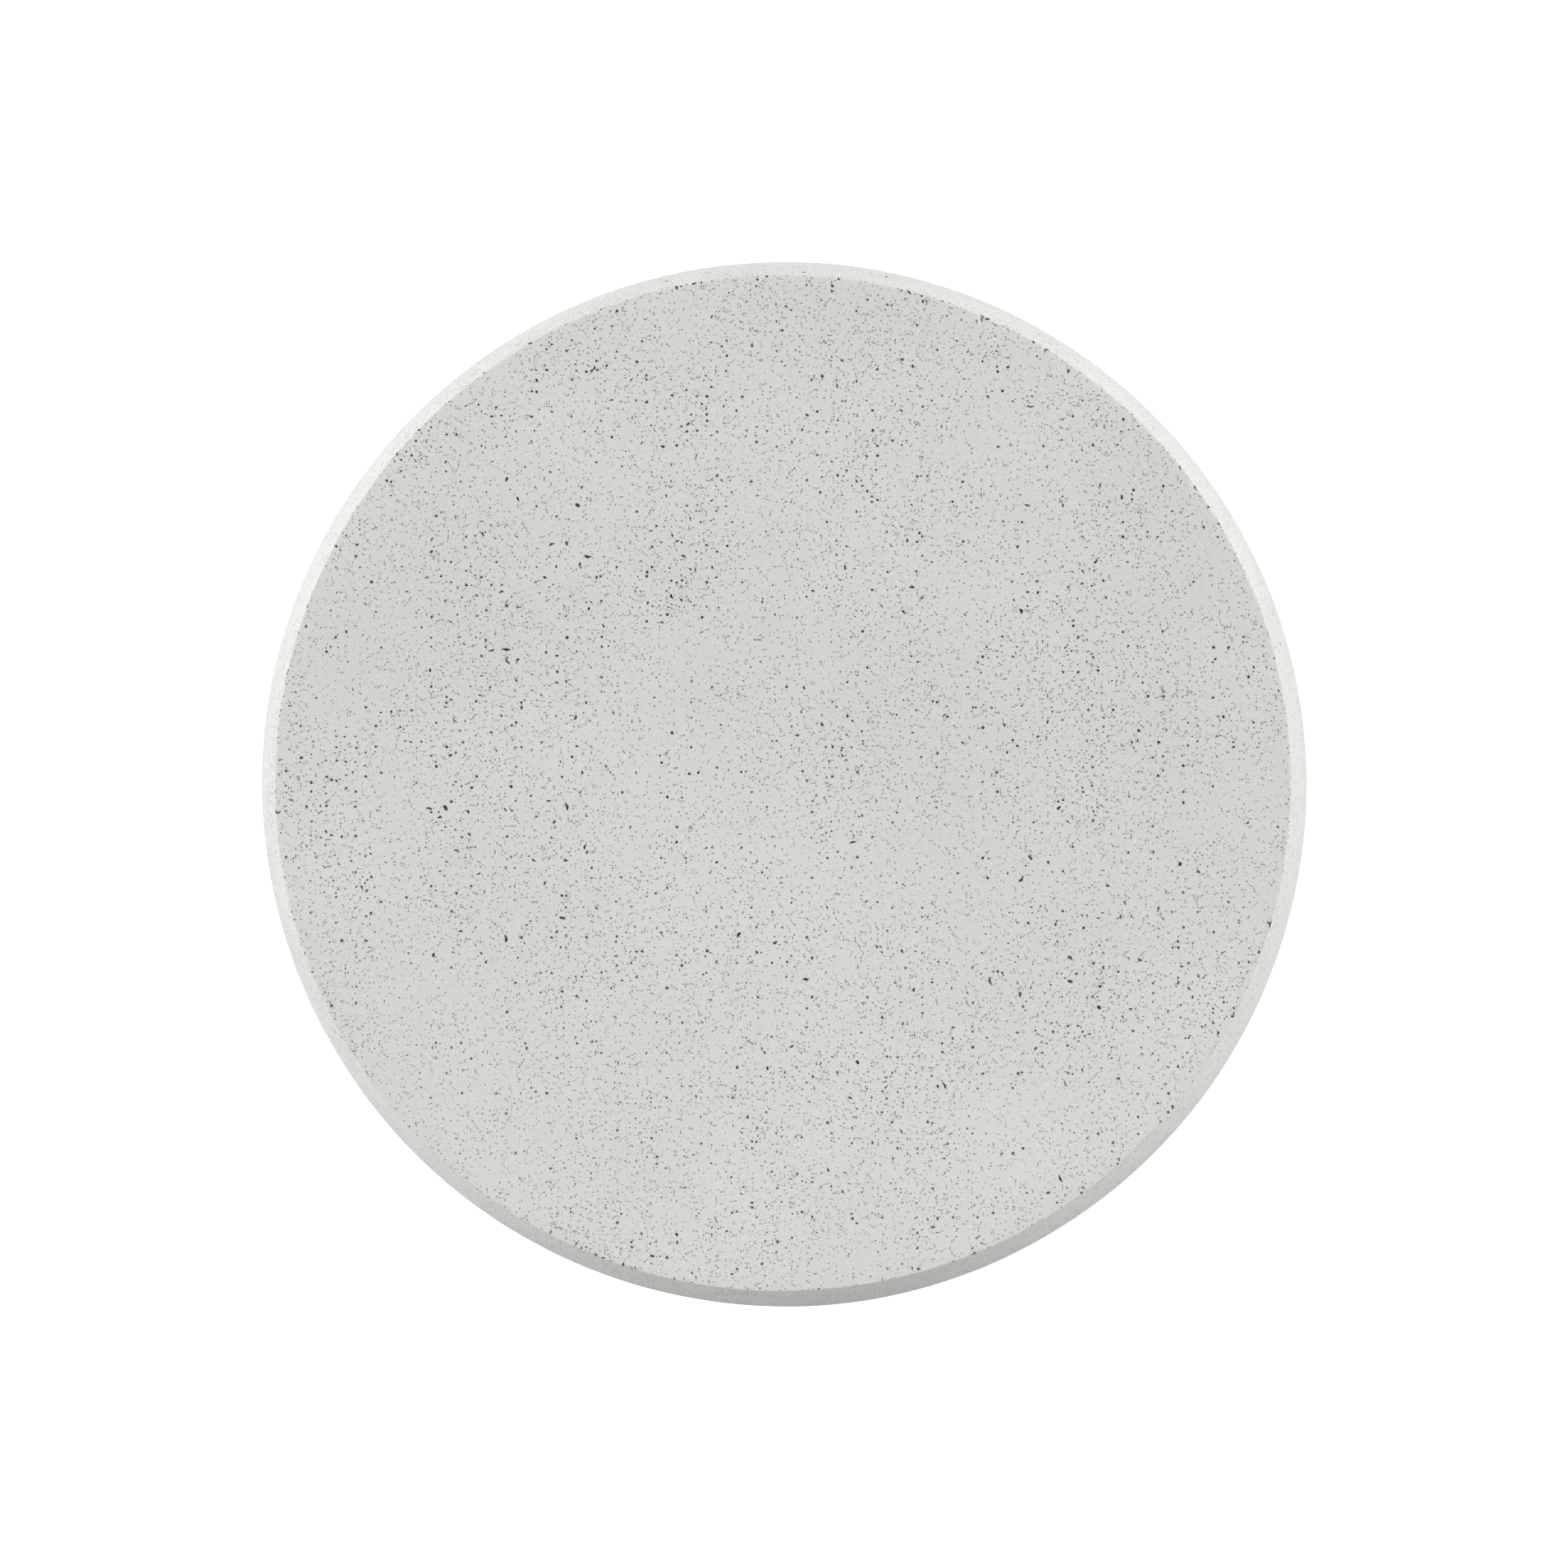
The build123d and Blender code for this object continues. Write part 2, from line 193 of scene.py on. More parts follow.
def turned(name, outline, steps=TURN_STEPS):
    """An outline of (radius, height) points turned about the lantern's axis."""
    bpy.ops.object.select_all(action="DESELECT")
    bpy.ops.mesh.primitive_plane_add(size=MM)
    piece = bpy.context.object
    piece.name = name
    bpy.ops.object.mode_set(mode="EDIT")
    bpy.ops.mesh.select_all(action="SELECT")
    bpy.ops.mesh.merge(type="CENTER")
    bpy.ops.transform.translate(value=(outline[0][0], 0, outline[0][1]))
    for here, there in zip(outline, outline[1:]):
        step = (there[0] - here[0], 0, there[1] - here[1])
        bpy.ops.mesh.extrude_region_move(TRANSFORM_OT_translate={"value": step})
    bpy.ops.mesh.select_all(action="SELECT")
    bpy.ops.mesh.spin(steps=steps, angle=tau, center=(0, 0, 0), axis=(0, 0, 1))
    bpy.ops.mesh.select_all(action="SELECT")
    bpy.ops.mesh.remove_doubles(threshold=0.01 * MM)
    bpy.ops.mesh.normals_make_consistent(inside=False)
    bpy.ops.object.mode_set(mode="OBJECT")
    return piece


def side_points(low, high, pitch):
    """The barrel's side from one height to another."""
    steps = max(1, ceil(abs(high - low) / pitch))
    heights = [low + (high - low) * i / steps for i in range(steps + 1)]
    return [(side(height), height) for height in heights]


def uneven(piece, size, depth):
    """Sinks a piece's surface unevenly, in swells of this size and up to this depth."""
    texture = bpy.data.textures.new(piece.name + "_swells", "CLOUDS")
    texture.noise_scale = size
    settings = {"texture": texture, "texture_coords": "LOCAL", "strength": depth, "mid_level": 1.0}
    apply_modifier(piece, "DISPLACE", **settings)
    bpy.data.textures.remove(texture)


def cut(piece, tool):
    """Cuts a tool's shape out of a piece and removes the tool."""
    apply_modifier(piece, "BOOLEAN", operation="DIFFERENCE", object=tool, solver="EXACT")
    bpy.data.objects.remove(tool)


def joined(objects):
    """Several objects joined into one, with its origin at the lantern's."""
    bpy.ops.object.select_all(action="DESELECT")
    for piece in objects:
        piece.select_set(True)
    bpy.context.view_layer.objects.active = objects[0]
    if len(objects) > 1:
        bpy.ops.object.join()
    bpy.ops.object.transform_apply(location=True, rotation=True, scale=True)
    return objects[0]


def copies(model, moves):
    """A model copied once for each move, each copy with its own mesh, all joined."""
    made = []
    for move in moves:
        copy = model.copy()
        copy.data = model.data.copy()
        copy.data.transform(move)
        bpy.context.collection.objects.link(copy)
        made.append(copy)
    name = model.name
    bpy.data.objects.remove(model)
    whole = joined(made)
    whole.name = name
    return whole


def around(radius, bearings):
    """Places on a circle about the lantern's axis, at these bearings in degrees."""
    return [Vector((radius * cos(radians(a)), radius * sin(radians(a)), 0)) for a in bearings]


def rods(places, radius, low, high):
    """Upright round tools of one size."""
    bpy.ops.object.select_all(action="DESELECT")
    middle = (low + high) / 2
    bpy.ops.mesh.primitive_cylinder_add(vertices=64, radius=radius, depth=high - low)
    return copies(bpy.context.object, [Matrix.Translation(p + Vector((0, 0, middle))) for p in places])


def leg_places():
    """Where the dowels stand, one in each leg between the arches."""
    return around((bore_radius + side(chamber_bottom)) / 2, (45, 135, 225, 315))


def finish(piece, body, slot, *nodes, smooth=35):
    """Smooths a piece, stands it for its CAD nodes and lets it ride on its body."""
    pick(piece)
    bpy.ops.object.shade_smooth_by_angle(angle=radians(smooth))
    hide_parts(*nodes)
    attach(piece, body)


# ---------------------------------------------------------------------------------------------
# Pits: the larger air holes, cut into the stones


def make_pit(materials, hooked):
    """One crooked air hole, about a millimetre in radius, whose copies cut all the others.

    Its faces have the last of the materials, which is the pit's inside, dark with dust and painted shade.
    """
    bpy.ops.object.select_all(action="DESELECT")
    bpy.ops.mesh.primitive_uv_sphere_add(segments=8, ring_count=5, radius=0.85 * MM)
    pit = bpy.context.object
    pit.name = "pit_tool"
    bpy.ops.object.mode_set(mode="EDIT")
    for end in (1, -1) if hooked else ():
        bpy.ops.mesh.select_all(action="DESELECT")
        bpy.ops.object.mode_set(mode="OBJECT")
        for vertex in pit.data.vertices:
            vertex.select = vertex.co.x * end > 0.3 * MM
        bpy.ops.object.mode_set(mode="EDIT")
        bpy.ops.transform.translate(value=(0.35 * end * MM, 0.45 * MM, 0))
        bpy.ops.transform.resize(value=(0.8, 0.7, 0.8))
    bpy.ops.mesh.select_all(action="SELECT")
    bpy.ops.transform.vertex_random(offset=0.14 * MM, uniform=1.0, normal=0.0, seed=4)
    bpy.ops.object.mode_set(mode="OBJECT")
    paint(pit, *materials)
    for face in pit.data.polygons:
        face.material_index = len(materials) - 1
    return pit


def cut_pits(piece, near, dice, smallest, largest):
    """Cuts pits where these points meet a piece's surface, clear of one another.

    Radii are in millimetres, and small pits are much the commonest.
    """
    bpy.context.view_layer.update()
    seats = []
    moves = {False: [], True: []}
    for point in near:
        radius = smallest + (largest - smallest) * dice.random() ** 3
        hooked = dice.random() < 0.35
        spin = Matrix.Rotation(dice.uniform(0, tau), 4, "Z")
        long, wide, deep = dice.uniform(0.9, 1.5), dice.uniform(0.55, 0.9), dice.uniform(0.6, 1.0)
        sink = dice.uniform(-0.20, 0.30) * radius * MM
        found, seat, normal, _ = piece.closest_point_on_mesh(point)
        reach = 1.2 * radius * long * MM
        if not found or (seat - point).length > 3 * MM:
            continue
        if any((seat - other).length < reach + size for other, size in seats):
            continue
        seats.append((seat, reach))
        shape = Matrix.Diagonal((radius * long, radius * wide, radius * deep, 1))
        upright = normal.to_track_quat("Z", "X").to_matrix().to_4x4()
        moves[hooked].append(Matrix.Translation(seat + normal * sink) @ upright @ spin @ shape)
    for hooked, places in moves.items():
        cut(piece, copies(make_pit(piece.data.materials, hooked), places))


def crowded(place):
    """How crowded the larger pits are at a place on the cap's top, from 0 to 1."""
    crowd = 0.05
    for bearing, distance, spread in PIT_CROWDS:
        away = (place - around(distance, (bearing,))[0]).length
        crowd += exp(-((away / spread) ** 2))
    return min(1.0, crowd) * (0.45 + 0.9 * noise.noise(place * 38))


def cap_top_points(count, dice):
    """Points on the cap's top, thick in the crowds and thin at the middle and the edge."""
    points = []
    while len(points) < count:
        distance = (edge_radius - 6 * MM) * sqrt(dice.random())
        place = around(distance, (dice.uniform(0, 360),))[0]
        if dice.random() < crowded(place):
            points.append(place + Vector((0, 0, cap_top)))
    return points


def side_pit_points(count, low, high, dice):
    """Points on the barrel's side between two heights."""
    points = []
    for _ in range(count):
        height = dice.uniform(low, high)
        place = around(side(height), (dice.uniform(0, 360),))[0]
        points.append(place + Vector((0, 0, height)))
    return points


# ---------------------------------------------------------------------------------------------
# Stones


def stone_side(low, high, top_round):
    """The outside of a stone from its lower face's rounded edge to its upper face's."""
    reach = 0.02
    lower = corner((0, low), (side(low), low), (side(low + reach), low + reach), ARRIS)
    upper = corner((side(high - reach), high - reach), (side(high), high), (0, high), top_round)
    return lower + side_points(low + 2 * ARRIS, high - 2 * top_round, 4 * MM) + upper


def make_cap(*stone):
    """The flat-topped cap, hollowed beneath."""
    ceiling = cap_top - CAP_SLAB
    coarse = 12 * MM
    fine = 6 * MM
    hollow = corner((0, ceiling), (recess_radius, ceiling), (recess_radius, cap_bottom), RECESS_ROUND, 6)
    lip = (edge_radius, cap_bottom)
    mouth = corner((recess_radius, ceiling), (recess_radius, cap_bottom), lip, ARRIS / 2)
    outside = stone_side(cap_bottom, cap_top, TOP_ARRIS)
    outline = line((0, ceiling), hollow[0], coarse) + hollow[:-1]
    outline += line(hollow[-1], mouth[0], fine) + mouth[:-1]
    outline += line(mouth[-1], outside[0], fine) + outside[:-1]
    outline += line(outside[-1], (0, cap_top), fine) + [(0, cap_top)]
    cap = turned("cap_block", outline)
    uneven(cap, 0.11, SWELL_DEPTH)
    paint(cap, *stone)
    dice = random.Random(11)
    cut_pits(cap, cap_top_points(520, dice), dice, 0.30, 1.15)
    cut_pits(cap, side_pit_points(170, cap_bottom + 6 * MM, cap_top - 6 * MM, dice), dice, 0.35, 1.5)
    chips = [p + Vector((0, 0, cap_top - 0.5 * MM)) for p in around(
        edge_radius - 0.6 * MM, [dice.uniform(0, 360) for _ in range(90)])]
    cut_pits(cap, chips, dice, 0.35, 1.15)
    cut(cap, rods(leg_places(), SOCKET_RADIUS, cap_bottom - 0.01, cap_bottom + SOCKET_DEPTH))
    finish(cap, "cap", "cast_stone", "cap_stone")
    return cap


def make_base(*stone):
    """The base stone, with its drain hole and the pockets of its pads."""
    hole = 11 * MM
    seat = 18 * MM
    seat_depth = 3 * MM
    pitch = 7 * MM
    outside = stone_side(base_bottom, base_top, ARRIS)
    outline = line((hole, base_bottom), outside[0], pitch) + outside[:-1]
    outline += line(outside[-1], (seat, base_top), pitch)
    outline += [(seat, base_top), (seat, base_top - seat_depth), (hole, base_top - seat_depth)]
    outline += [(hole, base_bottom)]
    base = turned("base_block", outline)
    uneven(base, 0.10, SWELL_DEPTH)
    paint(base, *stone)
    dice = random.Random(23)
    cut_pits(base, side_pit_points(150, base_bottom + 6 * MM, base_top - 6 * MM, dice), dice, 0.35, 1.6)
    cut(base, rods(around(edge_radius - PAD_FROM_EDGE, (90, 210, 330)), 18.5 * MM, 0, 8 * MM))
    finish(base, "base", "cast_stone", "base_stone")
    return base


def arch_tool(turn):
    """A round-headed block that goes right through the chamber, along one pair of arches."""
    bpy.ops.object.select_all(action="DESELECT")
    bpy.ops.mesh.primitive_cylinder_add(
        vertices=128,
        radius=ARCH_WIDTH / 2,
        depth=3 * BELLY_RADIUS,
        rotation=(pi / 2, 0, 0),
        location=(0, 0, springing),
    )
    tool = joined([bpy.context.object])
    bpy.ops.object.mode_set(mode="EDIT")
    bpy.ops.mesh.select_all(action="DESELECT")
    bpy.ops.object.mode_set(mode="OBJECT")
    for vertex in tool.data.vertices:
        vertex.select = vertex.co.z < springing - 0.1 * MM
    bpy.ops.object.mode_set(mode="EDIT")
    bpy.ops.transform.resize(value=(1, 1, 0), center_override=(0, 0, chamber_bottom - 0.02))
    bpy.ops.object.mode_set(mode="OBJECT")
    tool.data.transform(Matrix.Rotation(turn, 4, "Z"))
    return tool


def make_chamber(*stone):
    """The ring of the chamber with its four arches."""
    pitch = 6 * MM
    outside = stone_side(chamber_bottom, chamber_top, ARRIS)
    outline = line((bore_radius, chamber_bottom), outside[0], pitch) + outside[:-1]
    outline += line(outside[-1], (bore_radius, chamber_top), pitch)
    outline += line((bore_radius, chamber_top), (bore_radius, chamber_bottom), pitch) + [outline[0]]
    chamber = turned("chamber_ring", outline)
    cut(chamber, arch_tool(0))
    cut(chamber, arch_tool(pi / 2))
    chamber.data.remesh_voxel_size = CHAMBER_VOXEL
    pick(chamber)
    bpy.ops.object.voxel_remesh()
    apply_modifier(chamber, "SMOOTH", factor=0.5, iterations=4)
    uneven(chamber, 0.10, SWELL_DEPTH)
    paint(chamber, *stone)
    dice = random.Random(37)
    points = side_pit_points(330, chamber_bottom + 6 * MM, chamber_top - 6 * MM, dice)
    cut_pits(chamber, points, dice, 0.35, 1.6)
    tool = rods(leg_places(), SOCKET_RADIUS, chamber_bottom - 0.01, chamber_bottom + SOCKET_DEPTH)
    cut(chamber, tool)
    finish(chamber, "chamber", "cast_stone", "chamber_stone", smooth=50)
    return chamber


# ---------------------------------------------------------------------------------------------
# Lamp


def make_chimney():
    """The glass: a drawn tube with fire-polished lips, a little wavy as blown glass is."""
    inside = glass_radius - GLASS_WALL
    lip = 1.5 * MM
    points = [
        (inside, (glass_bottom + glass_top) / 2),
        (inside, glass_bottom),
        (glass_radius, glass_bottom),
        (glass_radius, glass_top),
        (inside, glass_top),
        (inside, (glass_bottom + glass_top) / 2),
    ]
    chimney = turned("drawn_chimney", rounded(points, (0, lip, lip, lip, lip, 0), 4 * MM), 128)
    uneven(chimney, 0.05, 0.25 * MM)
    finish(chimney, "glass", "clear_glass", "glass_chimney", smooth=60)
    return chimney


def make_pan():
    """The spun pan, with its rolled rim."""
    floor = pan_bottom + SHEET
    bead = corner_bead()
    under = corner((STEM_RADIUS, pan_bottom), (pan_radius, pan_bottom), (pan_radius, pan_rim), PAN_CORNER, 6)
    inner = pan_radius - SHEET
    fillet = PAN_CORNER - SHEET
    over = corner((inner, pan_rim), (inner, floor), (STEM_RADIUS, floor), fillet, 6)
    outline = line((STEM_RADIUS, pan_bottom), under[0], 5 * MM) + under
    outline += bead + over[:-1]
    outline += line(over[-1], (STEM_RADIUS, floor), 5 * MM) + [(STEM_RADIUS, floor)]
    outline += [(STEM_RADIUS, pan_bottom)]
    pan = turned("spun_pan", outline, 192)
    finish(pan, "tray", "aged_brass", "tray_pan", smooth=40)
    return pan


def corner_bead():
    """The section of the pan's rolled rim, from the outside of its wall over to the inside."""
    centre = pan_radius - SHEET / 2
    half = atan2(SHEET / 2, sqrt(BEAD_RADIUS**2 - (SHEET / 2) ** 2))
    first, last = -pi / 2 + half, 3 * pi / 2 - half
    steps = 16
    bearings = [first + (last - first) * i / steps for i in range(steps + 1)]
    return [(centre + BEAD_RADIUS * cos(a), pan_rim + BEAD_RADIUS * sin(a)) for a in bearings]


def make_drip(bearing, top, length, width):
    """A run of wax that set on the candle's side."""
    bpy.ops.object.select_all(action="DESELECT")
    middle = around(candle_radius, (bearing,))[0] + Vector((0, 0, top - length / 2))
    bpy.ops.mesh.primitive_uv_sphere_add(segments=24, ring_count=16, radius=width, location=middle)
    drip = joined([bpy.context.object])
    bpy.ops.object.mode_set(mode="EDIT")
    bpy.ops.mesh.select_all(action="SELECT")
    bpy.ops.transform.resize(value=(1, 1, length / (2 * width)), center_override=middle)
    bpy.ops.mesh.select_all(action="DESELECT")
    bpy.ops.object.mode_set(mode="OBJECT")
    for vertex in drip.data.vertices:
        vertex.select = vertex.co.z > middle.z
    bpy.ops.object.mode_set(mode="EDIT")
    bpy.ops.transform.resize(value=(0.6, 0.6, 1), center_override=middle)
    bpy.ops.object.mode_set(mode="OBJECT")
    return drip


def make_candle():
    """The burnt pillar candle: a soft shoulder, a melted hollow and a few runs."""
    shoulder = 5 * MM
    hollow = candle_top - DISH_DEPTH
    dish = [
        (DISH_RADIUS * 1.25, candle_top),
        (DISH_RADIUS * 1.05, candle_top - 0.12 * DISH_DEPTH),
        (DISH_RADIUS * 0.9, candle_top - 0.45 * DISH_DEPTH),
        (DISH_RADIUS * 0.7, candle_top - 0.85 * DISH_DEPTH),
        (DISH_RADIUS * 0.45, hollow),
        (0, hollow),
    ]
    foot = corner((SPIKE_FOOT, candle_bottom), (candle_radius, candle_bottom), (candle_radius, candle_top), 2 * MM)
    head = corner((candle_radius, candle_bottom), (candle_radius, candle_top), (0, candle_top), shoulder, 6)
    outline = [(0, candle_bottom + SPIKE_HOLE), (SPIKE_TIP, candle_bottom + SPIKE_HOLE)]
    outline += line((SPIKE_FOOT, candle_bottom), foot[0], 4 * MM) + foot[:-1]
    outline += line(foot[-1], head[0], 4 * MM) + head + dish
    wax = turned("pillar_candle", outline, 96)
    runs = ((248, 4, 30, 2.8), (264, 4, 17, 2.3), (30, 4, 36, 2.6), (140, 4, 24, 2.5))
    drips = [make_drip(a, candle_top - t * MM, n * MM, w * MM) for a, t, n, w in runs]
    candle = joined([wax] + drips)
    candle.data.remesh_voxel_size = 0.8 * MM
    pick(candle)
    bpy.ops.object.voxel_remesh()
    apply_modifier(candle, "SMOOTH", factor=0.5, iterations=3)
    uneven(candle, 0.022, 0.5 * MM)
    finish(candle, "candle", "ivory_wax", "candle_wax", smooth=60)
    return candle


def make_wick():
    """The braided wick: a three-stranded section twisted as it rises, its burnt end curled over."""
    bpy.ops.object.select_all(action="DESELECT")
    bpy.ops.mesh.primitive_circle_add(
        vertices=3, radius=1.12 * wick_radius, fill_type="NGON", location=(0, 0, wick_bottom)
    )
    wick = joined([bpy.context.object])
    wick.name = "braided_wick"
    bpy.ops.object.mode_set(mode="EDIT")
    bpy.ops.mesh.select_all(action="SELECT")
    bpy.ops.mesh.bevel(offset=0.55 * wick_radius, segments=3, affect="VERTICES")
    rise = 0.75 * MM
    steps = ceil((wick_top - wick_bottom) / rise)
    burnt = candle_top - DISH_DEPTH
    centre = Vector((0, 0, wick_bottom))
    for i in range(steps):
        out = max(0.0, (centre.z - burnt) / (wick_top - burnt))
        lean = Vector((-0.42 * out * MM, 0.16 * out * MM, (wick_top - wick_bottom) / steps))
        if i == steps - 1:
            lean.z -= 0.2 * MM
        bpy.ops.mesh.extrude_region_move(TRANSFORM_OT_translate={"value": lean})
        centre += lean
        bpy.ops.transform.rotate(value=radians(24), orient_axis="Z", center_override=centre)
        if out > 0.55:
            bpy.ops.transform.resize(value=(0.93, 0.93, 1), center_override=centre)
    bpy.ops.mesh.select_all(action="SELECT")
    bpy.ops.mesh.normals_make_consistent(inside=False)
    bpy.ops.object.mode_set(mode="OBJECT")
    finish(wick, "candle", "burnt_wick", "candle_wick", smooth=50)
    return wick


def make_pads():
    """The moulded rubber feet, ribbed below and chamfered at the ground."""
    radius = 18 * MM
    thick = 8 * MM
    groove = 0.9 * MM
    outline = [(0, thick), (radius - 0.4 * MM, thick), (radius, thick - 0.4 * MM), (radius, 1.0 * MM)]
    outline += [(radius - 1.0 * MM, 0)]
    for ring in (14.5, 11.5, 8.5, 5.5):
        edge = ring * MM
        outline += [(edge, 0), (edge - 0.5 * MM, groove), (edge - 1.2 * MM, groove), (edge - 1.7 * MM, 0)]
    outline += [(0, 0)]
    pad = turned("moulded_pads", outline, 64)
    pads = copies(pad, [Matrix.Translation(p) for p in around(edge_radius - PAD_FROM_EDGE, (90, 210, 330))])
    finish(pads, "base", "black_rubber", "foot_pads")
    return pads


def make_washers(name, seam_bottom, seam_top, body, node):
    """The rubber washers of one seam, pressed a little barrel-shaped."""
    hole = 5.5 * MM
    radius = 15 * MM
    bulge = 0.5 * MM
    middle = (seam_bottom + seam_top) / 2
    outline = [
        (hole, seam_bottom),
        (radius - 2 * bulge, seam_bottom),
        (radius - 0.4 * bulge, seam_bottom + bulge),
        (radius, middle),
        (radius - 0.4 * bulge, seam_top - bulge),
        (radius - 2 * bulge, seam_top),
        (hole, seam_top),
        (hole, seam_bottom),
    ]
    washer = turned(name, outline, 64)
    washers = copies(washer, [Matrix.Translation(p) for p in leg_places()])
    finish(washers, body, "black_rubber", node)
    return washers


# ---------------------------------------------------------------------------------------------
# Materials


class Value:
    """A shader socket that takes part in arithmetic."""

    def __init__(self, graph, socket):
        self.graph = graph
        self.socket = socket

    def __add__(self, other):
        return self.graph.math("ADD", self, other)

    def __sub__(self, other):
        return self.graph.math("SUBTRACT", self, other)

    def __rsub__(self, other):
        return self.graph.math("SUBTRACT", other, self)

    def __mul__(self, other):
        return self.graph.math("MULTIPLY", self, other)

    def __truediv__(self, other):
        return self.graph.math("DIVIDE", self, other)

    def __pow__(self, other):
        return self.graph.math("POWER", self, other)

    def __lt__(self, other):
        return self.graph.math("LESS_THAN", self, other)

    __radd__ = __add__
    __rmul__ = __mul__


class Graph:
    """The shader of one material, built up from nodes."""

    def __init__(self, material):
        material.use_nodes = True
        self.tree = material.node_tree
        self.tree.nodes.clear()

    def node(self, kind, settings=None, sockets=None):
        """A new node: its settings, then its sockets' values or links. Returns its outputs."""
        made = self.tree.nodes.new(kind)
        for name, value in (settings or {}).items():
            setattr(made, name, value)
        for name, value in (sockets or {}).items():
            if isinstance(value, Value):
                self.tree.links.new(value.socket, made.inputs[name])
            else:
                made.inputs[name].default_value = value
        return [Value(self, socket) for socket in made.outputs]

    def math(self, operation, a, b=0.0, clamp=False):
        settings = {"operation": operation, "use_clamp": clamp}
        return self.node("ShaderNodeMath", settings, {0: a, 1: b})[0]

    def vector(self, operation, a, b):
        return self.node("ShaderNodeVectorMath", {"operation": operation}, {0: a, 1: b})[0]

    def stretch(self, vector, factor):
        sockets = {0: vector, "Scale": factor}
        return self.node("ShaderNodeVectorMath", {"operation": "SCALE"}, sockets)[0]

    def clamp(self, value):
        return self.math("ADD", value, 0.0, clamp=True)

    def smooth(self, value, low, high):
        """0 below low, 1 above high, and a soft step between."""
        sockets = {"Value": value, "From Min": low, "From Max": high}
        return self.node("ShaderNodeMapRange", {"interpolation_type": "SMOOTHSTEP"}, sockets)[0]

    def mix(self, factor, a, b):
        settings = {"data_type": "RGBA", "blend_type": "MIX", "clamp_factor": True}
        return self.node("ShaderNodeMix", settings, {0: factor, 6: a, 7: b})[2]

    def object_place(self):
        """Object coordinates in metres."""
        return self.node("ShaderNodeTexCoord")[3]

    def parts(self, vector):
        """The x, y and z of a vector."""
        return self.node("ShaderNodeSeparateXYZ", {}, {0: vector})

    def millimetres(self, shift=(0, 0, 0)):
        """Object coordinates in millimetres, moved so that each casting has its own pattern."""
        return self.vector("ADD", self.stretch(self.object_place(), 1 / MM), shift)

    def noise(self, place, size, detail=2.0, rough=0.5):
        """Noise with features about this many millimetres across: its value and its colour."""
        sockets = {"Vector": place, "Scale": 1 / size, "Detail": detail, "Roughness": rough}
        return self.node("ShaderNodeTexNoise", {"noise_dimensions": "3D"}, sockets)

    def cells(self, place, size):
        """Random points about this far apart: the distance to the nearest, and three chances."""
        sockets = {"Vector": place, "Scale": 1 / size, "Randomness": 1.0}
        distance, colour = self.node("ShaderNodeTexVoronoi", {"feature": "F1"}, sockets)[:2]
        return distance * size, self.node("ShaderNodeSeparateColor", {}, {"Color": colour})

    def shader(self, bump=None, **sockets):
        """The surface: a Principled shader and the material's output."""
        values = {name.replace("_", " "): value for name, value in sockets.items()}
        if bump is not None:
            values["Normal"] = bump
        surface = self.node("ShaderNodeBsdfPrincipled", {}, values)[0]
        self.node("ShaderNodeOutputMaterial", {}, {"Surface": surface})

    def bump(self, height, depth, strength=1.0):
        """A normal from a height of 0 to 1 over this depth in metres."""
        sockets = {"Height": height, "Distance": depth, "Strength": strength}
        return self.node("ShaderNodeBump", {}, sockets)[0]


def grey(value, warmth=0.0):
    """A grey with a little warmth, as a colour."""
    return (value * (1 + warmth), value, value * (1 - 2 * warmth), 1)


def stone_tone(value, warmth=0.0):
    """The slightly green-grey of the cement, as a colour."""
    return (value * (0.988 + warmth), value, value * (0.947 - 2 * warmth), 1)


def pores(graph, place, spacing, smallest, largest, bias, share):
    """Air holes cut open by the surface: how deep inside one a point is, from 0 to 1, and a chance."""
    distance, chance = graph.cells(place, spacing)
    radius = smallest + chance[0] ** bias * (largest - smallest)
    inside = graph.smooth((radius - distance) / (0.35 * largest), 0.0, 1.0)
    return inside * (chance[1] < share), chance[2]


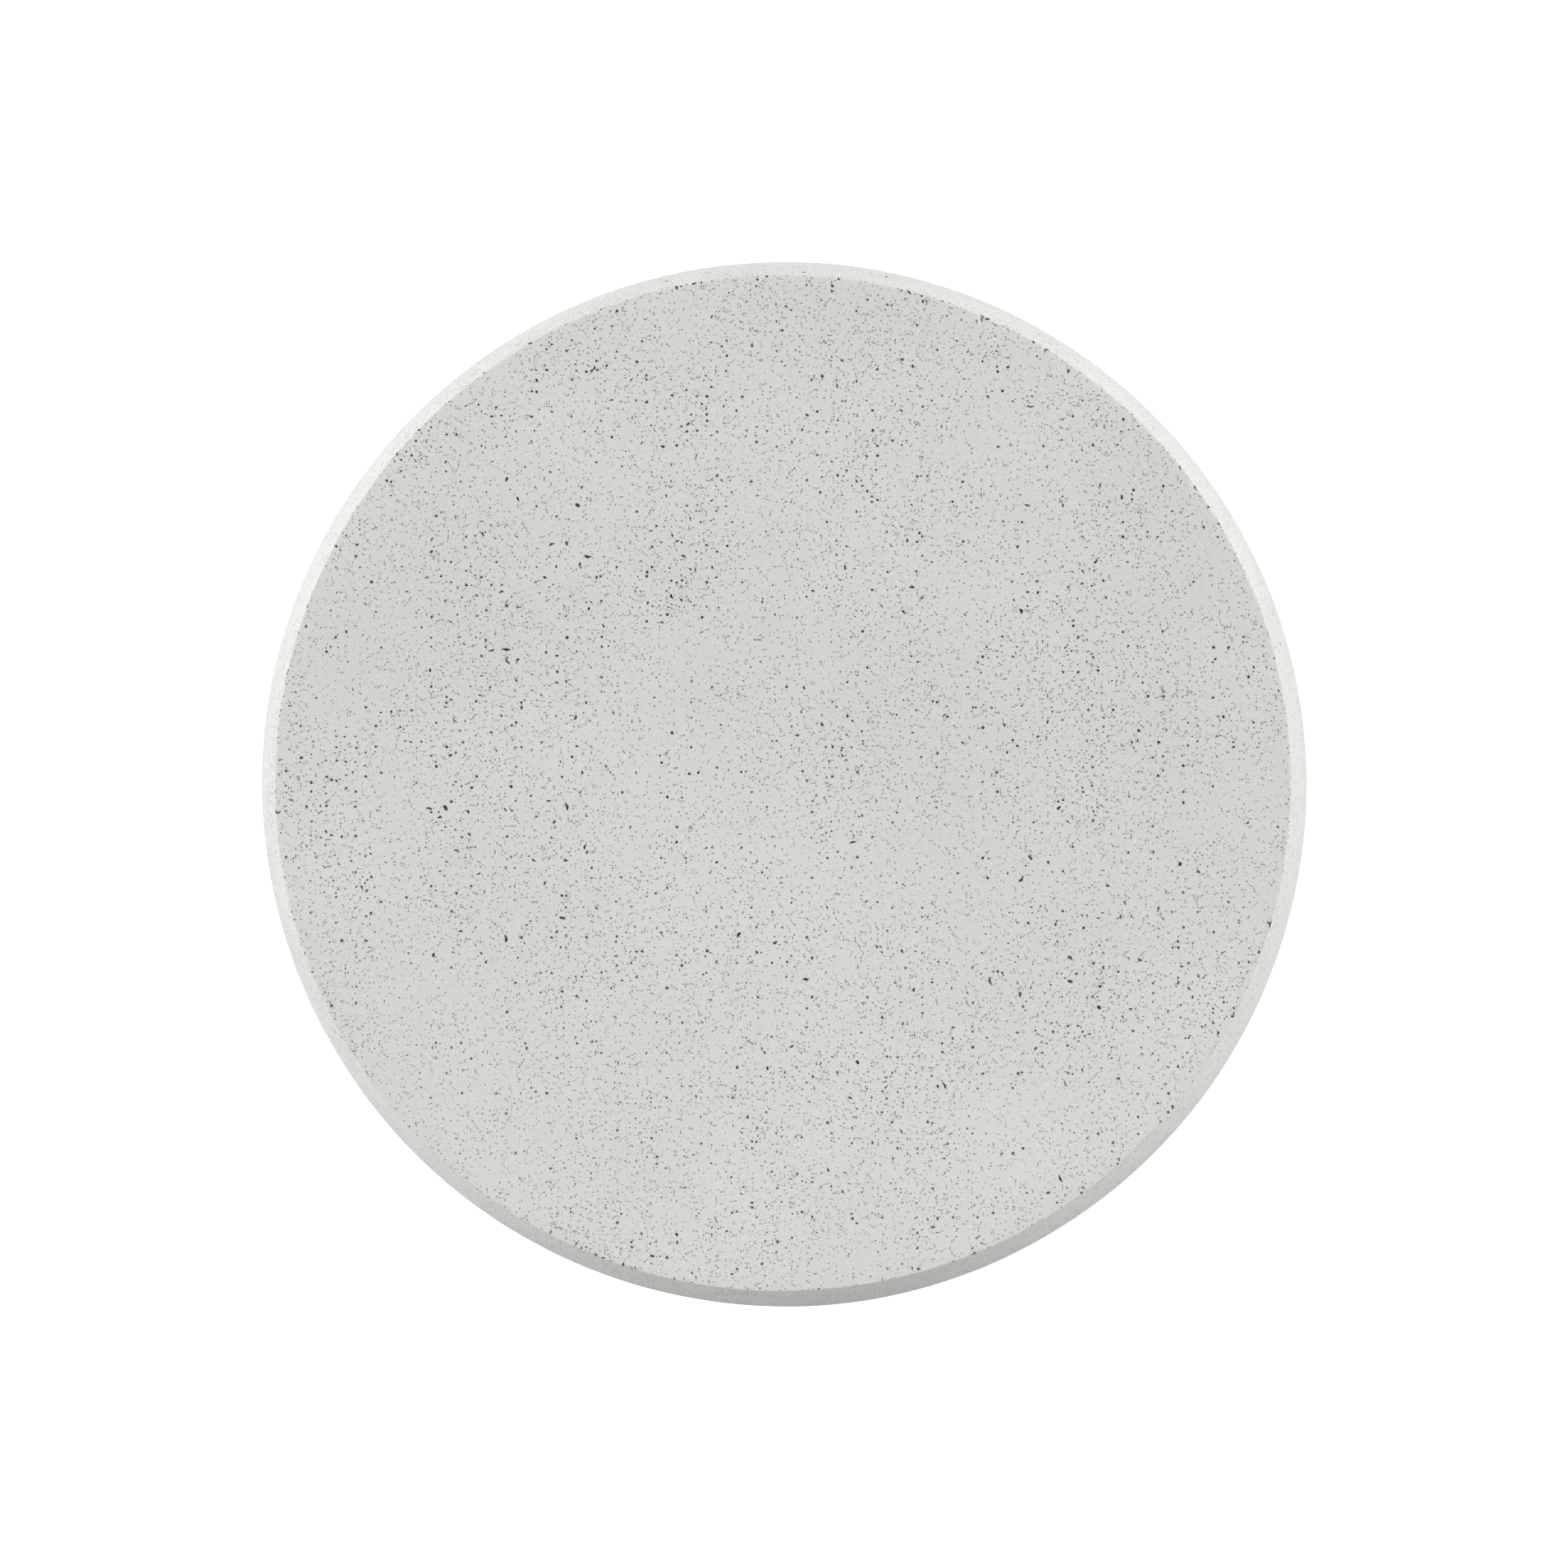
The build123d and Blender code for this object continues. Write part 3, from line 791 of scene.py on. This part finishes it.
def cast_stone(name, shift, tone, soot=0.0, damp=0.0, front_painted_light=0.0):
    """Pale cast stone, ground smooth: sandy cement with thousands of open air holes."""
    material = bpy.data.materials.new(name)
    graph = Graph(material)
    place = graph.millimetres(shift)
    warp = graph.vector("SUBTRACT", graph.noise(place, 1.6)[1], (0.5, 0.5, 0.5))
    crooked = graph.vector("ADD", place, graph.stretch(warp, 1.1))
    crowd = graph.smooth(graph.noise(place, 48, 2.0, 0.6)[0], 0.34, 0.66)
    patch = graph.noise(place, 90, 2.0, 0.5)[0]
    clouds = graph.noise(place, 7, 3.0, 0.6)[0]
    grain = graph.noise(place, 0.6, 2.0, 0.7)[0]

    fine, fine_shade = pores(graph, crooked, 0.98, 0.13, 0.50, 1.3, 0.56 + 0.38 * crowd)
    middle, middle_shade = pores(graph, crooked, 2.0, 0.26, 0.74, 2.0, 0.08 + 0.55 * crowd)
    sand, sand_shade = pores(graph, place, 1.7, 0.15, 0.50, 1.0, 0.40)

    body = graph.mix(graph.smooth(patch, 0.3, 0.7), stone_tone(0.535 * tone), stone_tone(0.560 * tone))
    body = graph.mix(graph.smooth(clouds, 0.40, 0.75) * 0.35, body, stone_tone(0.545 * tone, 0.018))
    body = graph.mix(graph.smooth(grain, 0.25, 0.8) * 0.20, body, stone_tone(0.42 * tone))
    body = graph.mix(sand * sand_shade * 0.45, body, stone_tone(0.72 * tone, 0.010))
    x, y, z = graph.parts(graph.object_place())
    formed = graph.smooth(z, cap_top - 0.0008, cap_top - 0.003)
    body = graph.mix(formed * 0.75, body, grey(0.570 * tone, 0.010))
    # Painted shade: the pores are coloured near black for the shade inside the holes, with some dust
    hollow = grey(0.030, 0.080)
    body = graph.mix(fine * (0.26 + 0.74 * fine_shade), body, hollow)
    body = graph.mix(middle * (0.84 + 0.16 * middle_shade), body, hollow)
    # Painted light: the stone is painted lighter towards the front (−Y), as the light falls there
    if front_painted_light:
        body = graph.mix(graph.smooth(y, 0.10, -0.20) * front_painted_light, body, stone_tone(1.0))
    if soot:
        away = graph.math("SQRT", x * x + y * y)
        smudge = graph.smooth(away, soot, 0.2 * soot) * (z < cap_top - 0.9 * CAP_SLAB)
        body = graph.mix(smudge * (0.30 + 0.45 * clouds), body, grey(0.045, 0.08))
    if damp:
        wet = graph.smooth(z + (clouds - 0.5) * 0.03, base_bottom + damp, base_bottom)
        body = graph.mix(wet * 0.50, body, grey(0.27, 0.05))

    height = graph.clamp(1 - fine * 0.5 - middle * 0.9 - grain * 0.06 - clouds * 0.06)
    graph.shader(
        Base_Color=body,
        Roughness=0.80 + 0.12 * grain,
        Specular_IOR_Level=0.30,
        bump=graph.bump(height, 0.5 * MM, 0.8),
    )
    return material


def pit_dust_and_shade():
    """The rough inside of the larger pits: some dust, and painted shade that makes them dark."""
    material = bpy.data.materials.new("pit_dust_and_shade")
    graph = Graph(material)
    place = graph.millimetres()
    dust = graph.smooth(graph.noise(place, 1.4, 2.0, 0.6)[0], 0.35, 0.70)
    grain = graph.noise(place, 0.35, 2.0, 0.7)[0]
    # Both greys are much darker than the stone: painted shade inside the pits, with lighter dusty patches
    body = graph.mix(dust, grey(0.045, 0.12), grey(0.24, 0.08))
    graph.shader(
        Base_Color=body,
        Roughness=0.85 + 0.10 * grain,
        Specular_IOR_Level=0.20,
        bump=graph.bump(grain, 0.2 * MM, 0.8),
    )
    return material


def black_rubber():
    """Moulded rubber, matt, with a pale bloom and fine pores."""
    material = bpy.data.materials.new("moulded_rubber")
    graph = Graph(material)
    place = graph.millimetres()
    bloom = graph.smooth(graph.noise(place, 6, 3.0, 0.6)[0], 0.45, 0.75)
    grain = graph.noise(place, 0.3, 2.0, 0.7)[0]
    body = graph.mix(bloom * 0.35, grey(0.018), grey(0.060, 0.02))
    graph.shader(
        Base_Color=body,
        Roughness=0.62 + 0.25 * grain,
        Specular_IOR_Level=0.35,
        bump=graph.bump(grain, 0.08 * MM, 0.6),
    )
    return material


def stainless_steel():
    """Turned stainless steel, with fine rings from the tool and dull water marks."""
    material = bpy.data.materials.new("turned_stainless")
    graph = Graph(material)
    place = graph.millimetres()
    x, y, z = graph.parts(place)
    rings = graph.noise(graph.vector("MULTIPLY", place, (0.05, 0.05, 1.0)), 0.18)[0]
    marks = graph.smooth(graph.noise(place, 5, 3.0, 0.6)[0], 0.45, 0.7)
    body = graph.mix(marks * 0.6, grey(0.42), grey(0.26, 0.02))
    graph.shader(
        Base_Color=body,
        Metallic=1.0,
        Roughness=0.32 + 0.14 * rings + 0.15 * marks,
        bump=graph.bump(rings, 0.02 * MM, 0.5),
    )
    return material


def aged_brass():
    """Spun brass gone brown, bright where it is handled, with a few green specks."""
    material = bpy.data.materials.new("aged_brass_sheet")
    graph = Graph(material)
    place = graph.millimetres()
    x, y, z = graph.parts(place)
    away = graph.math("SQRT", x * x + y * y)
    spun = graph.math("SINE", (away + z) * 5.2) * 0.5 + 0.5
    patina = graph.smooth(graph.noise(place, 9, 4.0, 0.62)[0], 0.35, 0.68)
    spots = graph.smooth(graph.noise(place, 1.6, 3.0, 0.65)[0], 0.62, 0.74)
    scuffs = graph.noise(graph.vector("MULTIPLY", place, (1.0, 6.0, 2.0)), 3.0, 3.0, 0.7)[0]
    body = graph.mix(patina, (0.60, 0.40, 0.15, 1), (0.22, 0.125, 0.050, 1))
    body = graph.mix(spots * 0.55, body, (0.085, 0.055, 0.030, 1))
    green = graph.smooth(graph.noise(place, 3.2, 3.0, 0.6)[0], 0.66, 0.76)
    body = graph.mix(green * 0.6, body, (0.10, 0.22, 0.17, 1))
    graph.shader(
        Base_Color=body,
        Metallic=1 - 0.75 * green,
        Roughness=0.26 + 0.20 * patina + 0.18 * spots + 0.10 * scuffs,
        bump=graph.bump(spun * 0.4 + scuffs * 0.4, 0.03 * MM, 0.5),
    )
    return material


def clear_glass():
    """Drawn glass with a trace of soot inside its upper lip."""
    material = bpy.data.materials.new("drawn_glass")
    graph = Graph(material)
    place = graph.millimetres()
    x, y, z = graph.parts(graph.object_place())
    clouds = graph.noise(place, 14, 3.0, 0.6)[0]
    smoke = graph.smooth(z + (clouds - 0.5) * 0.03, glass_top - 0.035, glass_top)
    ripple = graph.noise(graph.vector("MULTIPLY", place, (1.0, 1.0, 0.25)), 9, 2.0)[0]
    body = graph.mix(smoke * 0.45, (0.97, 0.985, 0.975, 1), (0.45, 0.36, 0.26, 1))
    graph.shader(
        Base_Color=body,
        Roughness=0.015 + 0.10 * smoke + 0.02 * clouds,
        IOR=1.5,
        Transmission_Weight=1.0,
        bump=graph.bump(ripple, 0.15 * MM, 0.35),
    )
    return material


def ivory_wax():
    """Ivory wax, waxy-bright at the shoulder, stained around the wick."""
    material = bpy.data.materials.new("ivory_candle_wax")
    graph = Graph(material)
    place = graph.millimetres()
    x, y, z = graph.parts(graph.object_place())
    away = graph.math("SQRT", x * x + y * y)
    clouds = graph.noise(place, 11, 3.0, 0.55)[0]
    bloom = graph.noise(place, 1.5, 3.0, 0.6)[0]
    melted = graph.smooth(away, 1.1 * DISH_RADIUS, 0.5 * DISH_RADIUS) * graph.smooth(z, candle_top - 0.008, candle_top - 0.004)
    stain = graph.smooth(away + (bloom - 0.5) * 0.004, 0.006, 0.0015) * melted
    body = graph.mix(graph.smooth(clouds, 0.3, 0.7), (0.80, 0.70, 0.50, 1), (0.87, 0.79, 0.61, 1))
    body = graph.mix(graph.smooth(bloom, 0.45, 0.8) * 0.4, body, (0.90, 0.85, 0.72, 1))
    body = graph.mix(melted * 0.5, body, (0.72, 0.58, 0.36, 1))
    body = graph.mix(stain * 0.8, body, (0.10, 0.075, 0.05, 1))
    graph.shader(
        Base_Color=body,
        Roughness=0.42 + 0.22 * bloom - 0.25 * melted,
        Subsurface_Weight=0.35,
        Subsurface_Radius=(0.012, 0.007, 0.003),
        Subsurface_Scale=0.6,
        bump=graph.bump(clouds * 0.7 + bloom * 0.3, 0.20 * MM, 0.5),
    )
    return material


def burnt_wick():
    """Braided cotton, waxed below and charred above."""
    material = bpy.data.materials.new("charred_wick")
    graph = Graph(material)
    place = graph.millimetres()
    x, y, z = graph.parts(graph.object_place())
    fibres = graph.noise(graph.vector("MULTIPLY", place, (1.0, 1.0, 0.35)), 0.30, 3.0, 0.7)[0]
    burnt = graph.smooth(z + (fibres - 0.5) * 0.002, candle_top - 0.003, candle_top + 0.001)
    body = graph.mix(fibres, (0.40, 0.31, 0.20, 1), (0.62, 0.52, 0.36, 1))
    char = graph.mix(fibres, grey(0.010), grey(0.050, 0.05))
    graph.shader(
        Base_Color=graph.mix(burnt, body, char),
        Roughness=0.75 + 0.20 * fibres,
        bump=graph.bump(fibres, 0.15 * MM, 0.9),
    )
    return material


# ---------------------------------------------------------------------------------------------
# Camera, light and floor


def make_camera():
    """Straight above the cap, a touch off its axis towards the lower right."""
    right, down, height = 0.0124, 0.0088, 2.0
    reach = height + 0.104
    bpy.ops.object.camera_add(location=(right, -down, cap_top + height))
    camera = bpy.context.object
    camera.name = "camera"
    camera.data.sensor_width = 36
    camera.data.lens = 115.1
    camera.rotation_euler = (atan(down / reach), atan(right / reach), 0)
    bpy.context.scene.camera = camera


def make_floor():
    """A pale floor, seen brighter than it lights the stones, and duller before the front arch."""
    bpy.ops.object.select_all(action="DESELECT")
    bpy.ops.mesh.primitive_plane_add(size=14)
    floor = bpy.context.object
    floor.name = "floor"
    material = bpy.data.materials.new("pale_floor")
    graph = Graph(material)
    seen = graph.node("ShaderNodeLightPath")[0]
    x, y, z = graph.parts(graph.object_place())
    bearing = graph.math("ARCTAN2", x, y * -1.0)
    front = graph.smooth(graph.math("ABSOLUTE", bearing), 1.15, 0.75)
    tone = graph.mix(front, grey(0.62), grey(0.08))
    plain = graph.node("ShaderNodeBsdfDiffuse", {}, {"Color": tone})[0]
    pale = graph.node("ShaderNodeBsdfDiffuse", {}, {"Color": grey(0.9)})[0]
    glow = graph.node("ShaderNodeEmission", {}, {"Color": grey(1.0), "Strength": 0.5})[0]
    lit = graph.node("ShaderNodeAddShader", {}, {0: pale, 1: glow})[0]
    surface = graph.node("ShaderNodeMixShader", {}, {0: seen, 1: plain, 2: lit})[0]
    graph.node("ShaderNodeOutputMaterial", {}, {"Surface": surface})
    paint(floor, material)


def make_light():
    """A bright, even room, dimmer before the front arch, and a soft key from the upper left."""
    world = bpy.data.worlds.new("studio")
    bpy.context.scene.world = world
    graph = Graph(world)
    seen = graph.node("ShaderNodeLightPath")[0]
    x, y, z = graph.parts(graph.node("ShaderNodeTexCoord")[0])
    bearing = graph.math("ABSOLUTE", graph.math("ARCTAN2", x, y * -1.0) - 0.09)
    flanks = graph.smooth(bearing, 0.74, 0.98) * graph.smooth(bearing, 1.95, 1.70)
    back = graph.smooth(bearing, 2.45, 2.95)
    low = graph.smooth(z, 0.75, 0.35)
    zenith = graph.smooth(z, 0.75, 0.92)
    strength = zenith * 1.23 + low * (0.08 + 5.8 * flanks + 5.1 * back)
    room = graph.node("ShaderNodeBackground", {}, {"Color": grey(1.0), "Strength": strength})[0]
    white = graph.node("ShaderNodeBackground", {}, {"Color": grey(1.0), "Strength": 1.1})[0]
    surface = graph.node("ShaderNodeMixShader", {}, {0: seen, 1: room, 2: white})[0]
    graph.node("ShaderNodeOutputWorld", {}, {"Surface": surface})

    aim = Vector((0, 0, cap_top))
    where = aim + Vector((-1.55, 1.55, 1.25))
    bpy.ops.object.light_add(type="AREA", location=where)
    key = bpy.context.object
    key.name = "key_light"
    key.data.shape = "DISK"
    key.data.size = 1.6
    key.data.energy = 5
    key.rotation_mode = "QUATERNION"
    key.rotation_quaternion = (aim - where).to_track_quat("-Z", "Y")


def make_stones():
    inside = pit_dust_and_shade()
    # The cap's stone carries painted light, lighter towards the front
    make_cap(cast_stone("cap_cast_stone", (0, 0, 0), 1.0, soot=0.11, front_painted_light=0.05), inside)
    make_chamber(cast_stone("chamber_cast_stone", (310, -170, 90), 0.98), inside)
    make_base(cast_stone("base_cast_stone", (-240, 415, -130), 0.95, damp=0.045), inside)


def make_lamp():
    brass = aged_brass()
    steel = stainless_steel()
    rubber = black_rubber()
    paint(make_chimney(), clear_glass())
    paint(make_candle(), ivory_wax())
    paint(make_wick(), burnt_wick())
    paint(make_pan(), brass)
    paint(make_pads(), rubber)
    seams = (
        ("lower_washers", base_top, chamber_bottom, "base", "chamber_washers"),
        ("upper_washers", chamber_top, cap_bottom, "chamber", "cap_washers"),
    )
    for seam in seams:
        paint(make_washers(*seam), rubber)
    for node in ("tray_feet", "tray_loop", "loop_rivets", "glass_gallery", "gallery_flange",
                 "gallery_rivets", "candle_spike", "spike_nut"):
        paint(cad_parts[node], brass)
    for node in ("chamber_dowels", "cap_dowels", "drain_sleeve", "drain_strainer"):
        paint(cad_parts[node], steel)


def main():
    make_stones()
    make_lamp()
    make_floor()
    make_light()
    make_camera()
    bpy.context.scene.view_settings.view_transform = "Standard"


main()
